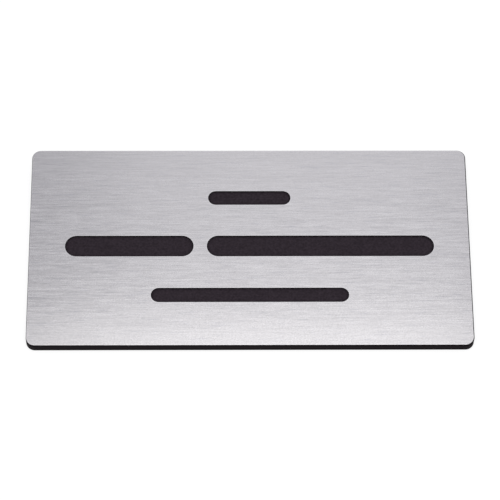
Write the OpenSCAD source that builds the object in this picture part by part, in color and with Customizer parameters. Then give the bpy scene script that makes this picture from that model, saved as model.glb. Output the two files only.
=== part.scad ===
// Mailbox sign: a small engraved plate that is glued to the front of a letter box.
// The plate is a two-colour laminate: a thin brushed metallic cap layer bonded to a black plastic core.
// The engraving goes through the cap layer and a little way into the core, so that the core shows dark.
// The engraving is three rows of plain bars with round ends.
// Origin: the middle of the back, on the adhesive. +X to the right, +Y up the sign, +Z out of its face.

/* [Plate] */
// Width of the plate, left to right
plate_w = 70; // [66:1:120]
// Height of the plate, bottom to top
plate_h = 35; // [26:1:70]
// Radius of the plate's four corners
corner_r = 1.4; // [0.5:0.1:4]
// Thickness of the black core
core_t = 1.55; // [0.8:0.05:3]
// Thickness of the brushed cap layer
cap_t = 0.05; // [0.03:0.01:0.3]
// Width of the bevel that breaks the core's edge all round the cap layer
edge_bevel = 0.08; // [0.04:0.01:0.3]

/* [Engraving] */
// Depth of the engraving below the cap layer
groove_d = 0.15; // [0.05:0.05:0.5]
// Distance between the centre lines of neighbouring rows
row_pitch = 8.7; // [6:0.1:13]
// Height of the bars in the top and bottom rows
light_bar_h = 2.5; // [1:0.1:4]
// Height of the bars in the middle row
bold_bar_h = 3.7; // [1.5:0.1:6]
// Width of the bar in the top row
top_bar_w = 13.2; // [6:0.1:50]
// Width of the left bar in the middle row
middle_left_w = 20.4; // [8:0.1:26]
// Width of the right bar in the middle row
middle_right_w = 36.1; // [12:0.1:42]
// Gap between the two bars of the middle row
middle_gap = 2.1; // [0.8:0.1:6]
// Width of the bar in the bottom row
bottom_bar_w = 31.2; // [8:0.1:60]

/* [Adhesive film] */
// Thickness of the double-sided adhesive film on the back
film_t = 0.1; // [0.05:0.05:1]
// Distance from the film's edge to the plate's edge
film_inset = 1; // [0.2:0.1:5]
// Radius of the film's four corners
film_r = 1; // [0.5:0.1:4]

/* [Hidden] */
$fn = 64;

// Depth by which a cutter overruns a face, so that it cuts cleanly
overrun = 0.1;
// Heights of the core's back and front faces above the mounting surface
core_back_z = film_t;
core_front_z = core_back_z + core_t;
// Outline of the cap layer, which ends where the core's bevel begins
cap_w = plate_w - 2 * edge_bevel;
cap_h = plate_h - 2 * edge_bevel;
cap_r = corner_r - edge_bevel;
// Centres of the middle row's bars, with the whole row centred on the plate
middle_row_w = middle_left_w + middle_gap + middle_right_w;
middle_left_x = (middle_left_w - middle_row_w) / 2;
middle_right_x = (middle_row_w - middle_right_w) / 2;
// The engraved bars: centre x, centre y, width and height of each
bars = [
    [0, row_pitch, top_bar_w, light_bar_h],
    [middle_left_x, 0, middle_left_w, bold_bar_h],
    [middle_right_x, 0, middle_right_w, bold_bar_h],
    [0, -row_pitch, bottom_bar_w, light_bar_h]
];

// Copies a shape to the four corners of a w by h rectangle, at the centres of its corner arcs
module at_corners(w, h, r) {
    for (x = [-1, 1], y = [-1, 1])
        translate([x * (w / 2 - r), y * (h / 2 - r), 0])
            children();
}

// Rectangle with rounded corners, centred on the origin
module rounded_outline(w, h, r) {
    square([w - 2 * r, h], center = true);
    square([w, h - 2 * r], center = true);
    at_corners(w, h, r) circle(r);
}

// Right half of a section whose top outer edge is bevelled at 45 degrees, from the middle out to the given reach
module bevelled_section(reach, t, bevel) {
    polygon([[0, 0], [reach, 0], [reach, t - bevel], [reach - bevel, t], [0, t]]);
}

// Slab along X with both of its long top edges bevelled
module bevelled_slab(length, w, t, bevel) {
    rotate([90, 0, 90])
        linear_extrude(length, center = true)
            for (side = [0, 1])
                mirror([side, 0]) bevelled_section(w / 2, t, bevel);
}

// Plate with rounded corners and a bevel all round its top: two crossing slabs and a turned post at each corner
module bevelled_plate(w, h, r, t, bevel) {
    bevelled_slab(w - 2 * r, h, t, bevel);
    rotate([0, 0, 90]) bevelled_slab(h - 2 * r, w, t, bevel);
    at_corners(w, h, r) rotate_extrude() bevelled_section(r, t, bevel);
}

// One engraved bar, with the round ends that a turning cutter leaves
module bar_outline(w, h) {
    square([w - h, h], center = true);
    for (side = [-1, 1])
        translate([side * (w - h) / 2, 0]) circle(d = h);
}

// All the engraved bars, as cutters that reach from z = 0 up to the given height
module engraving(height) {
    for (bar = bars)
        translate([bar[0], bar[1], 0])
            linear_extrude(height) bar_outline(bar[2], bar[3]);
}

// Double-sided film that holds the sign on its letter box
module adhesive_film() {
    color([0.86, 0.84, 0.78])
        linear_extrude(film_t)
            rounded_outline(plate_w - 2 * film_inset, plate_h - 2 * film_inset, film_r);
}

// Black plastic sheet that gives the sign its body, its dark edge and its dark engraving
module core_plate() {
    color([0.11, 0.11, 0.12])
        difference() {
            translate([0, 0, core_back_z])
                bevelled_plate(plate_w, plate_h, corner_r, core_t, edge_bevel);
            translate([0, 0, core_front_z - groove_d])
                engraving(groove_d + overrun);
        }
}

// Brushed metallic layer over the whole face, open wherever the engraving went through it
module cap_layer() {
    color([0.76, 0.76, 0.78])
        translate([0, 0, core_front_z])
            difference() {
                linear_extrude(cap_t) rounded_outline(cap_w, cap_h, cap_r);
                translate([0, 0, -overrun]) engraving(cap_t + 2 * overrun);
            }
}

adhesive_film();
core_plate();
cap_layer();
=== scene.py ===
# %% [markdown]
# # A small engraved mailbox sign, brushed metal over black
# The sign is cut from two-colour engraving sheet: a foil-thin brushed metallic cap on a black plastic core,
# with an adhesive film on its back. The solids come from the CAD model and are already right, so this
# lesson is about finishes. We load the solids, give each one a material that behaves like the real thing,
# and light the sign as a small product on a studio table.

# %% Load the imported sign
import math

import bpy
from mathutils import Matrix, Vector


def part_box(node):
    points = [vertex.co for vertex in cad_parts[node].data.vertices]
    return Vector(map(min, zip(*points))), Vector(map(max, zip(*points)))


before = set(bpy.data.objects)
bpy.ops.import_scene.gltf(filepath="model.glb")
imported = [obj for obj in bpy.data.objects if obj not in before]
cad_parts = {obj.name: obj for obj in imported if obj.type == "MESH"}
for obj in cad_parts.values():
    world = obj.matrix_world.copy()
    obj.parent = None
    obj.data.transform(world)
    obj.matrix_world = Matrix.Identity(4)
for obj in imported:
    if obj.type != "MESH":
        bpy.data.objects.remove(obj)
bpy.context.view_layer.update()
MM = 0.001

# %% [markdown]
# ## Sums written as sums
# A procedural finish is mostly arithmetic on positions. Adding every Math node by hand hides what is meant,
# so one small class wraps a socket and lets us write `1 - mask` or `0.2 * height`. Each operator adds the
# Math node for it. Every other kind of node comes from one method, which takes the node's type, its
# settings, and the values or links of its sockets.

# %% A socket that understands arithmetic
class Wire:
    """An output socket of a shader node. Sums with it add the Math nodes that they need."""

    def __init__(self, tree, socket):
        self.tree = tree
        self.socket = socket

    @classmethod
    def node(cls, tree, kind, settings=None, values=None, output=0):
        """Adds a node of any kind: first its settings, then the value or link of each socket."""
        made = tree.nodes.new(kind)
        for name, setting in (settings or {}).items():
            setattr(made, name, setting)
        for name, value in (values or {}).items():
            if isinstance(value, cls):
                tree.links.new(value.socket, made.inputs[name])
            else:
                made.inputs[name].default_value = value
        return cls(tree, made.outputs[output]) if made.outputs else None

    def math(self, operation, *terms):
        """A Math node on the given numbers or wires, in their order."""
        return self.node(self.tree, "ShaderNodeMath", {"operation": operation}, dict(enumerate(terms)))

    def __add__(self, other):
        return self.math("ADD", self, other)

    def __sub__(self, other):
        return self.math("SUBTRACT", self, other)

    def __mul__(self, other):
        return self.math("MULTIPLY", self, other)

    def __truediv__(self, other):
        return self.math("DIVIDE", self, other)

    def __radd__(self, other):
        return self.math("ADD", other, self)

    def __rsub__(self, other):
        return self.math("SUBTRACT", other, self)

    def __rmul__(self, other):
        return self.math("MULTIPLY", other, self)

    def __gt__(self, other):
        return self.math("GREATER_THAN", self, other)

    def __abs__(self):
        return self.math("ABSOLUTE", self)

    def at_least(self, other):
        return self.math("MAXIMUM", self, other)

    def at_most(self, other):
        return self.math("MINIMUM", self, other)

    def root(self):
        return self.math("SQRT", self)

    def sine(self):
        return self.math("SINE", self)

    def floor(self):
        return self.math("FLOOR", self)

    def ramp(self, start, end):
        """0 before start, 1 after end, and a soft S between them. Start may be the larger one."""
        spread = {"interpolation_type": "SMOOTHSTEP"}
        ends = {"Value": self, "From Min": start, "From Max": end}
        return self.node(self.tree, "ShaderNodeMapRange", spread, ends)


# %% [markdown]
# ## Places and noise
# The sign is 70 mm wide, so its finishes are planned in millimetres. Object coordinates give the place of
# each point in metres, and they stick to the sign whatever the camera does. Two kinds of noise do most of
# the work. Blotches are plain noise stretched to a size. Stretching alone makes wavy streaks, as noise
# changes smoothly in every direction. A belt leaves straight marks, so the strokes cut the face into rows,
# and each row jumps to another place in the noise.

# %% Places, blotches and strokes
# Steps through the noise from one row of strokes to the next, so that neighbouring rows don't look alike
ROW_STEP_ALONG = 17.31
ROW_STEP_ACROSS = 0.618


def places(tree):
    """The x, y and z of the point being shaded, in millimetres."""
    spot = Wire.node(tree, "ShaderNodeTexCoord", output="Object")
    split = Wire.node(tree, "ShaderNodeSeparateXYZ", values={0: spot})
    return [Wire(tree, out) / MM for out in split.socket.node.outputs]


def joined(tree, x, y, z):
    """A vector or a grey from three wires or numbers."""
    return Wire.node(tree, "ShaderNodeCombineXYZ", values={0: x, 1: y, 2: z})


def noise_at(spot, detail, roughness):
    """Noise from -1 to 1, at a place that is already scaled to the size of the noise's blobs."""
    values = {"Vector": spot, "Scale": 1.0, "Detail": detail, "Roughness": roughness}
    return Wire.node(spot.tree, "ShaderNodeTexNoise", values=values) * 2 - 1


def blotches(place, size, detail=2.0, shift=0.0):
    """Noise whose blobs have the given size in millimetres along x, y and z."""
    spot = joined(place[0].tree, *(along / wide + shift for along, wide in zip(place, size)))
    return noise_at(spot, detail, roughness=0.5)


def strokes(place, length, pitch, shift):
    """Straight strokes along x of the given length, in rows of the given pitch, both in millimetres."""
    row = (place[1] / pitch + shift).floor()
    along = place[0] / length + row * ROW_STEP_ALONG
    spot = joined(place[0].tree, along, row * ROW_STEP_ACROSS, shift)
    return noise_at(spot, detail=2.0, roughness=0.55)


# %% [markdown]
# ## Colours, bumps and the surface
# A Math node would turn a colour grey, so a Mix node mixes colours and a Vector Math node brightens them.
# Every finish ends in the same way, with a Principled shader and the material output. A number that is the
# same all over a surface goes straight to the shader's own socket.

# %% From sums to a finished material
def start_finish(name):
    """A new material and its empty node tree."""
    finish = bpy.data.materials.new(name)
    finish.use_nodes = True
    finish.node_tree.nodes.clear()
    return finish, finish.node_tree


def mixed(share, first, second):
    """Two colours mixed: all of the first where share is 0, all of the second where it is 1."""
    colours = {0: share, 6: first, 7: second}
    return Wire.node(share.tree, "ShaderNodeMix", {"data_type": "RGBA"}, colours, output=2)


def brightened(colour, factor):
    """A colour times a number that changes over the surface."""
    values = {0: colour, 1: joined(factor.tree, factor, factor, factor)}
    return Wire.node(factor.tree, "ShaderNodeVectorMath", {"operation": "MULTIPLY"}, values)


def bumped(height, depth):
    """A normal for a surface that rises by depth millimetres as the wire goes from 0 to 1."""
    values = {"Height": height, "Strength": 1.0, "Distance": depth * MM}
    return Wire.node(height.tree, "ShaderNodeBump", values=values)


def finish_with(tree, **values):
    """The surface shader, with the given values or wires on its sockets, joined to the material output."""
    names = {name.replace("_", " "): value for name, value in values.items()}
    surface = Wire.node(tree, "ShaderNodeBsdfPrincipled", values=names)
    Wire.node(tree, "ShaderNodeOutputMaterial", values={"Surface": surface})


def dress(node, finish):
    """Gives a CAD node its finish, in place of the plain colour that it came with."""
    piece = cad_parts[node]
    piece.data.materials.clear()
    piece.data.materials.append(finish)
    print(node, "wears", finish.name, "-", len(finish.node_tree.nodes), "shader nodes")


# %% [markdown]
# ## Where the plate ends and where the bars are
# Tool marks follow the cut edges, so the finishes need to know each one's place. We don't copy numbers from
# the CAD but measure its meshes. The plate's corner radius is what is missing from its straight top edge.
# The bottoms of the bars are the only faces of the core that look up from below its top, so we find those
# and join the ones that share corners: each group is one bar.

# %% Measure the plate's outline and the engraved bars
# Places closer than this in millimetres count as one, and the matching number of decimals
SAME_PLACE = 0.001
DECIMALS = 3
# A face is level where the upward part of its normal is more than this
LEVEL = 0.99
# A level face is sunken where it lies further than this below the core's top, in millimetres
SUNKEN = 0.01


def cap_outline(mesh):
    """Half the width, half the height and the corner radius of the cap, in millimetres."""
    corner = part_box("cap_layer")[1] / MM
    on_top_edge = [v.co.x / MM for v in mesh.vertices if corner.y - v.co.y / MM < SAME_PLACE]
    return corner.x, corner.y, corner.x - max(on_top_edge)


def engraved_bars(mesh):
    """Centre x, centre y, length and height in millimetres of each sunken level island of the core."""
    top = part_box("core_plate")[1].z
    islands = []
    for face in mesh.polygons:
        sunken = face.center.z < top - SUNKEN * MM
        if face.normal.z < LEVEL or not sunken:
            continue
        corners = {tuple(round(c / MM, DECIMALS) for c in mesh.vertices[i].co) for i in face.vertices}
        touching = [island for island in islands if island & corners]
        islands = [island for island in islands if not island & corners]
        islands.append(corners.union(*touching))
    bars = []
    for island in islands:
        xs = [corner[0] for corner in island]
        ys = [corner[1] for corner in island]
        middle = ((min(xs) + max(xs)) / 2, (min(ys) + max(ys)) / 2)
        bars.append((*middle, max(xs) - min(xs), max(ys) - min(ys)))
    return sorted(bars, key=lambda bar: (-bar[1], bar[0]))


outline = cap_outline(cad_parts["cap_layer"].data)
print("cap: half width %.2f, half height %.2f, corner radius %.2f" % outline)
bars = engraved_bars(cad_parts["core_plate"].data)
for bar in bars:
    print("bar at x %.2f, y %.2f: %.2f long, %.2f high" % bar)

# %% [markdown]
# ## Distances to the cuts
# Both outlines are rounded boxes, and the distance to a rounded box is a classic short sum. Shrink the box
# by its corner radius, measure how far a point lies beyond it, and take the radius off again. For a bar,
# the radius is half its height. The burnished rim of the cap with its painted highlight, the rings of the
# cutter and the glow of the table with its painted shadow under the sign all use them.

# %% Distance fields of the cuts
def beyond_box(place, middle_x, middle_y, half_x, half_y):
    """Distance in millimetres of a point from a box, 0 inside it."""
    aside_x = (abs(place[0] - middle_x) - half_x).at_least(0.0)
    aside_y = (abs(place[1] - middle_y) - half_y).at_least(0.0)
    return (aside_x * aside_x + aside_y * aside_y).root()


def into_plate(place):
    """How far a point lies inside the cap's outline. It is right up to the corner radius from the edge."""
    half_x, half_y, radius = outline
    return radius - beyond_box(place, 0.0, 0.0, half_x - radius, half_y - radius)


def from_bars(place):
    """Distance from the edge of the nearest bar, less than 0 inside the bar."""
    nearest = None
    for middle_x, middle_y, length, height in bars:
        from_middle_line = beyond_box(place, middle_x, middle_y, (length - height) / 2, 0.0)
        edge = from_middle_line - height / 2
        nearest = nearest.at_most(edge) if nearest else edge
    return nearest


# %% [markdown]
# ## How the cap was brushed
# On the real sheet an abrasive belt brushed the metallic cap along its length. Its marks come in three
# lengths, from hair-fine nicks to strokes that run across a good part of the sign. All their rows are
# narrower than the eye can tell apart, and so they look like silk and not like a comb. The belt pressed
# hardest half-way up the face, and a little harder towards the two ends.

# %% The strokes of the belt
# Length and pitch in millimetres, and the start of the noise, of each kind of stroke
HAIR = (1.3, 0.09, 0.0)
STROKE = (3.2, 0.13, 7.3)
LONG_STROKE = (9.0, 0.15, 3.7)
# How strongly each kind of stroke shows
HAIR_WEIGHT = 0.35
STROKE_WEIGHT = 0.75
LONG_WEIGHT = 0.6
# How hard the belt pressed in the middle, what the two ends add and what the top and bottom edges take off
MIDDLE_PRESSURE = 0.9
END_PRESSURE = 0.22
EDGE_LOSS = 0.58


def belt_pressure(place):
    """How hard the belt pressed, about 1 over most of the face."""
    aside = place[0] / outline[0]
    up = place[1] / outline[1]
    return (1 - up * up * EDGE_LOSS) * (MIDDLE_PRESSURE + aside * aside * END_PRESSURE)


def belt_strokes(place):
    """The hairs, the strokes, and the whole brushing with its pressure."""
    hair = strokes(place, *HAIR)
    stroke = strokes(place, *STROKE)
    long_stroke = strokes(place, *LONG_STROKE)
    together = HAIR_WEIGHT * hair + STROKE_WEIGHT * stroke + LONG_WEIGHT * long_stroke
    return hair, stroke, together * belt_pressure(place)


print("hairs, strokes and long strokes, mm:", HAIR[0], STROKE[0], LONG_STROKE[0])

# %% [markdown]
# ## The brushed cap
# Grooves that lie side by side spread light wider across them than along them. That is what anisotropy
# does, with its tangent set across the grooves. The strokes change the colour too, and the darkest ones
# look a little cooler. Between them lies a fine speckle that grows towards the lower edge. Sawing and
# engraving burnish the cut edge, so a hair-thin rim of the cap is smoother, and a painted highlight makes
# it brighter. Along the right edge a thin dark line is painted shade, with a mask of its own.

# %% Finish of the cap layer
SILVER = (0.751, 0.734, 0.746, 1.0)
COOL_SILVER = (0.718, 0.708, 0.738, 1.0)
# Near-black of the painted shade along the right edge
PAINTED_SHADE_BLACK = (0.030, 0.028, 0.030, 1.0)
# Strokes from this dark on turn cool, and those as dark as the second number are all cool
COOL_STROKES = (-0.15, -0.5)
# Size in millimetres of the faint bands and of the speckle
BAND = (22.0, 1.6, 4.0)
SPECKLE = (0.17, 0.17, 1.0)
# How much of the brightness each mark changes, and how the speckle grows down the face
BRUSH_SHADE = 0.32
BAND_SHADE = 0.02
SPECKLE_SHADE = 0.16
SPECKLE_GROWTH = 0.06
# The rim's share is a painted highlight along every cut edge of the cap
RIM_PAINTED_HIGHLIGHT = 0.12
# Width of the rim, burnished and with a painted highlight, and the distances inside the outline where the
# painted shade along the right edge starts and is full
RIM_WIDTH = 0.20
PAINTED_SHADE_DEPTHS = (0.085, 0.045)
# Distance from the right edge, in millimetres, at which the painted shade has its full strength
PAINTED_SHADE_END = 0.3
# Roughness between the marks, what the brushing adds to it and what the rim's polish takes off
CAP_ROUGHNESS = 0.26
BRUSH_ROUGHNESS = 0.06
RIM_POLISH = 0.04
# What hairs and speckle add to the relief, and the depth of the whole relief in millimetres
HAIR_RELIEF = 0.3
SPECKLE_RELIEF = 0.1
GROOVE_DEPTH = 0.002


def brushed_cap():
    finish, tree = start_finish("brushed_cap")
    place = places(tree)
    half_x, half_y, radius = outline
    hair, stroke, brush = belt_strokes(place)
    band = blotches(place, BAND, shift=3.1)
    speckle = blotches(place, SPECKLE, shift=11.7)
    speckle_shade = SPECKLE_SHADE - SPECKLE_GROWTH * (place[1] / half_y)
    inside = into_plate(place)
    # The rim: its lower roughness is the burnish, its brighter colour a painted highlight
    rim_burnish_and_highlight = inside.at_most(from_bars(place)).ramp(RIM_WIDTH, 0.0)
    # Painted shade: a thin dark line just inside the right edge
    painted_right_shade = inside.ramp(*PAINTED_SHADE_DEPTHS) * place[0].ramp(half_x - radius, half_x - PAINTED_SHADE_END)
    shade = 1 + BRUSH_SHADE * brush + BAND_SHADE * band + speckle * speckle_shade + RIM_PAINTED_HIGHLIGHT * rim_burnish_and_highlight
    silver = mixed(stroke.ramp(*COOL_STROKES), SILVER, COOL_SILVER)
    relief = 0.5 + HAIR_RELIEF * hair + SPECKLE_RELIEF * speckle
    finish_with(
        tree,
        Base_Color=mixed(painted_right_shade, brightened(silver, shade), PAINTED_SHADE_BLACK),
        Metallic=1.0,
        Roughness=CAP_ROUGHNESS + BRUSH_ROUGHNESS * brush - RIM_POLISH * rim_burnish_and_highlight,
        Anisotropic=0.4,
        Tangent=joined(tree, 0.0, 1.0, 0.0),
        Normal=bumped(relief, GROOVE_DEPTH),
    )
    return finish


dress("cap_layer", brushed_cap())

# %% [markdown]
# ## The black core
# The core shows in two places. Its edge was sawn and is a plain satin black, with faint lines along the
# cut, and a painted light makes it a touch lighter along the middle of its height, for the shade that the
# cap and the table cast on its top and bottom. In the bars the cutter went round and round, so the bottom
# has rings a quarter of a millimetre apart, like a racetrack. The rings follow the distance from the bar's
# edge.
# The plastic is rougher, warmer and grainy where it was milled, and painted shade darkens it towards the
# walls of the bars, where less light gets in. The white table would gleam on the plastic and turn it grey,
# so its gloss is almost off.

# %% Finish of the core
SAWN_BLACK = (0.0095, 0.0070, 0.0085, 1.0)
MILLED_BLACK = (0.0400, 0.0310, 0.0385, 1.0)
RING_PITCH = 0.25
# Size in millimetres of the saw's lines on the edge and of the grain that milling leaves
SAW_LINE = (4.0, 4.0, 0.08)
MILL_GRAIN = (0.32, 0.28, 0.28)
# Distances from a bar's edge, less than 0 inside it, between which painted shade darkens the floor
# towards the wall
PAINTED_WALL_SHADE_SPAN = (-0.5, 0.0)
# Distances from the middle of the thickness between which the sawn edge gets its painted light
PAINTED_MIDDLE_SPAN = (0.3, 0.1)
# How much of the brightness each mark changes
GRAIN_SHADE = 0.6
RING_SHADE = 0.08
# The wall's share is painted shade
WALL_PAINTED_SHADE = 0.35
SAW_SHADE = 0.3
# The middle's share is painted light, for the shade on the edge's top and bottom
MIDDLE_PAINTED_LIGHT = 0.6
# Roughness of the sawn edge, and what milling and the saw's lines add to it
SAWN_ROUGHNESS = 0.5
MILLED_ROUGHNESS = 0.2
SAW_ROUGHNESS = 0.05
# What each mark adds to the relief, and the depth of the whole relief in millimetres
RING_RELIEF = 0.3
GRAIN_RELIEF = 0.2
SAW_RELIEF = 0.3
MARK_DEPTH = 0.01


def black_core():
    finish, tree = start_finish("black_core")
    place = places(tree)
    facing = Wire.node(tree, "ShaderNodeNewGeometry", output="Normal")
    upward = Wire.node(tree, "ShaderNodeSeparateXYZ", values={0: facing}, output="Z")
    milled = upward > LEVEL
    sawn = 1 - milled
    from_wall = from_bars(place)
    ring = (from_wall * (2 * math.pi / RING_PITCH)).sine()
    grain = blotches(place, MILL_GRAIN)
    saw = blotches(place, SAW_LINE, detail=3.0)
    back, front = (corner.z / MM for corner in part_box("core_plate"))
    # Painted light along the middle of the sawn edge's height
    middle = abs(place[2] - (back + front) / 2).ramp(*PAINTED_MIDDLE_SPAN)
    # Painted shade on the bars' floors towards their walls
    wall = from_wall.ramp(*PAINTED_WALL_SHADE_SPAN)
    floor_marks_and_painted_shade = GRAIN_SHADE * grain + RING_SHADE * ring - WALL_PAINTED_SHADE * wall
    edge_marks_and_painted_light = SAW_SHADE * saw + MIDDLE_PAINTED_LIGHT * middle
    relief = 0.5 + milled * (RING_RELIEF * ring + GRAIN_RELIEF * grain) + sawn * (SAW_RELIEF * saw)
    black = mixed(milled, SAWN_BLACK, MILLED_BLACK)
    finish_with(
        tree,
        Base_Color=brightened(black, 1 + milled * floor_marks_and_painted_shade + sawn * edge_marks_and_painted_light),
        Roughness=SAWN_ROUGHNESS + MILLED_ROUGHNESS * milled + SAW_ROUGHNESS * saw,
        Specular_IOR_Level=0.01,
        Normal=bumped(relief, MARK_DEPTH),
    )
    return finish


dress("core_plate", black_core())

# %% [markdown]
# ## The adhesive film
# Double-sided film is a milky, slightly yellow plastic with adhesive on both faces. It isn't quite even:
# the adhesive is coated in faint waves and holds small air spots where it was pressed on. Only its thin
# edge can be seen from beside the sign, but the whole face shows when the sign is turned over.

# %% Finish of the adhesive film
FILM_MILKY = (0.700, 0.670, 0.580, 1.0)
FILM_CLEARER = (0.600, 0.565, 0.470, 1.0)
# Size in millimetres of the waves, of the orange peel and of the air spots
WAVE = (9.0, 3.0, 3.0)
ORANGE_PEEL = (0.6, 0.6, 0.6)
AIR_SPOT = (1.1, 1.1, 1.1)
# Noise between these numbers is the edge of a spot
SPOT_EDGE = (0.45, 0.6)
# How clear the film is, and how much its waves and spots change that
CLEARNESS = 0.35
CLEARER_BY = 0.5
# Roughness of the even film, and what its marks add to it
FILM_ROUGHNESS = 0.3
PEEL_ROUGHNESS = 0.08
SPOT_ROUGHNESS = 0.15
# How far the orange peel rises and the spots sink, and the depth of the whole relief in millimetres
PEEL_RELIEF = 0.3
SPOT_RELIEF = 0.2
PEEL_DEPTH = 0.02


def milky_film():
    finish, tree = start_finish("milky_film")
    place = places(tree)
    waves = blotches(place, WAVE)
    orange_peel = blotches(place, ORANGE_PEEL, shift=5.0)
    spots = blotches(place, AIR_SPOT, detail=0.0, shift=2.0).ramp(*SPOT_EDGE)
    clear = CLEARNESS + CLEARER_BY * waves + CLEARER_BY * spots
    finish_with(
        tree,
        Base_Color=mixed(clear, FILM_MILKY, FILM_CLEARER),
        Roughness=FILM_ROUGHNESS + PEEL_ROUGHNESS * orange_peel + SPOT_ROUGHNESS * spots,
        Normal=bumped(0.5 + PEEL_RELIEF * orange_peel - SPOT_RELIEF * spots, PEEL_DEPTH),
    )
    return finish


dress("adhesive_film", milky_film())

# %% [markdown]
# ## Softened edges
# No cut edge is perfectly sharp. A bevel of a hundredth of a millimetre or two gives each rim something
# that can catch the light. The meshes arrive with a seam between every two faces, and a bevel needs an edge
# that both faces share, so a Weld modifier joins them first. Both are modifiers, so the solids below stay
# as they are.

# %% A tiny bevel on the cap and the core
# Width of each node's bevel, in millimetres
EDGE_SOFTENING = {"cap_layer": 0.012, "core_plate": 0.02}
# Corners closer than this, in millimetres, are welded, and edges sharper than the angle are softened
WELD_GAP = 0.0005
SHARP_ANGLE = math.radians(40)


def soften_edges(piece, width):
    welded = piece.modifiers.new("joined_faces", "WELD")
    welded.merge_threshold = WELD_GAP * MM
    softened = piece.modifiers.new("softened_edges", "BEVEL")
    softened.width = width * MM
    softened.segments = 2
    softened.limit_method = "ANGLE"
    softened.angle_limit = SHARP_ANGLE
    softened.harden_normals = True


for node, width in EDGE_SOFTENING.items():
    soften_edges(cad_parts[node], width)
    print(node, "edges softened by", width, "mm")

# %% [markdown]
# ## The table
# Catalogue pictures stand on pure white. A white table under soft light comes out a little grey, so what
# the camera or a reflection sees is a thin coat of paper white over a plain white glow. All other light
# meets an ordinary white surface. That keeps the soft shadow at the foot of the sign. The glow is masked
# off under the sign, where no light gets, so a painted shadow keeps the gap below the core's edge dark.

# %% Floor
TABLE_RADIUS = 2.0
TABLE_CORNERS = 96
# The table lies this far below the sign, in millimetres, so that no two faces share a place
TABLE_DROP = 0.02
PAPER_WHITE = (0.9, 0.9, 0.9, 1.0)
SHADOW_CATCHER = (0.3, 0.3, 0.3, 1.0)
GLOW = 0.85
# Distances inside the cap's outline, less than 0 outside it, where the glow is off and where it is full,
# which is the edge of the painted shadow under the sign
PAINTED_SHADOW_EDGE = (-0.04, -0.09)


def white_table():
    finish, tree = start_finish("white_table")
    rays = Wire.node(tree, "ShaderNodeLightPath").socket.node.outputs
    seen = Wire(tree, rays["Is Camera Ray"])
    for kind in ("Is Glossy Ray", "Is Transmission Ray"):
        seen = seen.at_least(Wire(tree, rays[kind]))
    paper = Wire.node(tree, "ShaderNodeBsdfDiffuse", values={"Color": PAPER_WHITE})
    coat = Wire.node(tree, "ShaderNodeBsdfDiffuse", values={"Color": SHADOW_CATCHER})
    # Painted shadow: the glow is off under the sign and comes back just outside the cap's outline
    glow_outside_painted_shadow = into_plate(places(tree)).ramp(*PAINTED_SHADOW_EDGE)
    glow = Wire.node(tree, "ShaderNodeEmission", values={"Strength": glow_outside_painted_shadow * GLOW})
    white = Wire.node(tree, "ShaderNodeAddShader", values={0: coat, 1: glow})
    both = Wire.node(tree, "ShaderNodeMixShader", values={0: seen, 1: paper, 2: white})
    Wire.node(tree, "ShaderNodeOutputMaterial", values={"Surface": both})
    return finish


bpy.ops.mesh.primitive_circle_add(vertices=TABLE_CORNERS, radius=TABLE_RADIUS, fill_type="NGON")
table = bpy.context.object
table.name = "table"
table.location.z = -TABLE_DROP * MM
table.data.materials.append(white_table())
print("table radius, m:", TABLE_RADIUS)

# %% [markdown]
# ## Light
# A flat metal face shows what is above it, so its tones are made by the room. The room is white at the
# horizon, grey higher up and darkest straight overhead, where it would otherwise wash the face out in a
# view from above. A softbox that is a shade warm hangs low over the near part of the sign, and a dimmer one
# stands far behind it to the right. So the face is brightest along its lower edge and fades towards the
# upper left corner.

# %% Room and softboxes
ROOM_WHITE = (1.0, 1.0, 1.0, 1.0)
ROOM_GREY = (0.506, 0.506, 0.534, 1.0)
ROOM_DARK = (0.20, 0.20, 0.21, 1.0)
# Upward part of a direction where white turns grey, and where grey turns dark
GREY_HEIGHTS = (0.15, 0.6)
DARK_HEIGHTS = (0.92, 0.99)
# Place, width and depth in millimetres, radiance where 1 is white, and colour of each softbox
SOFTBOXES = {
    "near_softbox": ((0.5, -14.0, 76.0), 91.0, 62.0, 0.825, (1.0, 1.0, 0.96)),
    "far_softbox": ((19.5, 117.0, 264.0), 113.0, 193.0, 0.31, (1.0, 1.0, 1.0)),
}


def light_room():
    world = bpy.data.worlds.new("studio_room")
    world.use_nodes = True
    tree = world.node_tree
    tree.nodes.clear()
    direction = Wire.node(tree, "ShaderNodeTexCoord", output="Generated")
    height = Wire.node(tree, "ShaderNodeSeparateXYZ", values={0: direction}, output="Z")
    wall = mixed(height.ramp(*GREY_HEIGHTS), ROOM_WHITE, ROOM_GREY)
    room = mixed(height.ramp(*DARK_HEIGHTS), wall, ROOM_DARK)
    glow = Wire.node(tree, "ShaderNodeBackground", values={"Color": room, "Strength": 1.0})
    Wire.node(tree, "ShaderNodeOutputWorld", values={"Surface": glow})
    bpy.context.scene.world = world


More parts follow.
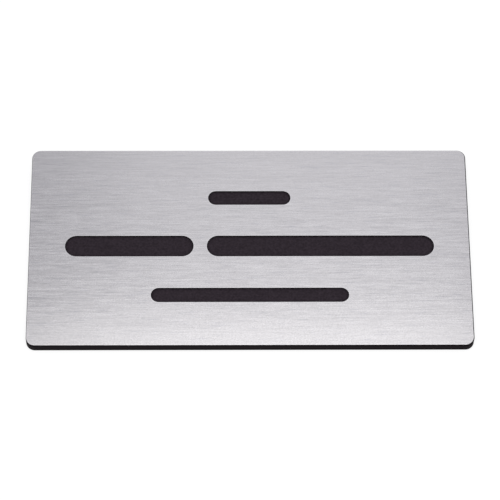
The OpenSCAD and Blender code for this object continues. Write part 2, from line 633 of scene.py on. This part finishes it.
def hang_softbox(name, place, width, depth, radiance, colour):
    light = bpy.data.lights.new(name, "AREA")
    light.shape = "RECTANGLE"
    light.size = width * MM
    light.size_y = depth * MM
    light.energy = radiance * math.pi * light.size * light.size_y
    light.color = colour
    softbox = bpy.data.objects.new(name, light)
    softbox.location = Vector(place) * MM
    softbox.visible_camera = False
    bpy.context.scene.collection.objects.link(softbox)
    print("%s: %.4f W" % (name, light.energy))


light_room()
for name, settings in SOFTBOXES.items():
    hang_softbox(name, *settings)

# %% [markdown]
# ## Camera
# The picture was taken with a long lens from about 62 degrees above the sign, turned a degree or so. We
# place the camera on that direction and build its axes ourselves, because it is rolled slightly about its
# own view.

# %% Camera
CAMERA_AZIMUTH = math.radians(-1.52)
CAMERA_ELEVATION = math.radians(62.25)
CAMERA_ROLL = math.radians(1.27)
# Distance to the target and the target's place, in millimetres
CAMERA_DISTANCE = 406.8
CAMERA_TARGET = (0.05, -0.74, 1.7)
# Lens and sensor in millimetres, and the nearest place that the camera sees, in metres
LENS = 184.63
SENSOR_WIDTH = 36.0
NEAREST_SEEN = 0.01


def camera_axes():
    """The camera's right, up and back, after its roll."""
    aside = math.sin(CAMERA_AZIMUTH) * math.cos(CAMERA_ELEVATION)
    nearer = -math.cos(CAMERA_AZIMUTH) * math.cos(CAMERA_ELEVATION)
    back = Vector((aside, nearer, math.sin(CAMERA_ELEVATION)))
    level = (-back).cross(Vector((0, 0, 1))).normalized()
    upright = level.cross(-back)
    right = math.cos(CAMERA_ROLL) * level + math.sin(CAMERA_ROLL) * upright
    up = math.cos(CAMERA_ROLL) * upright - math.sin(CAMERA_ROLL) * level
    return right, up, back


def set_camera():
    right, up, back = camera_axes()
    place = (Vector(CAMERA_TARGET) + back * CAMERA_DISTANCE) * MM
    camera = bpy.data.objects.new("camera", bpy.data.cameras.new("camera"))
    camera.matrix_world = Matrix.Translation(place) @ Matrix((right, up, back)).transposed().to_4x4()
    camera.data.lens = LENS
    camera.data.sensor_width = SENSOR_WIDTH
    camera.data.clip_start = NEAREST_SEEN
    bpy.context.scene.collection.objects.link(camera)
    bpy.context.scene.camera = camera
    print("camera at, mm:", [round(c / MM, 1) for c in place])


set_camera()
bpy.context.scene.view_settings.view_transform = "Standard"
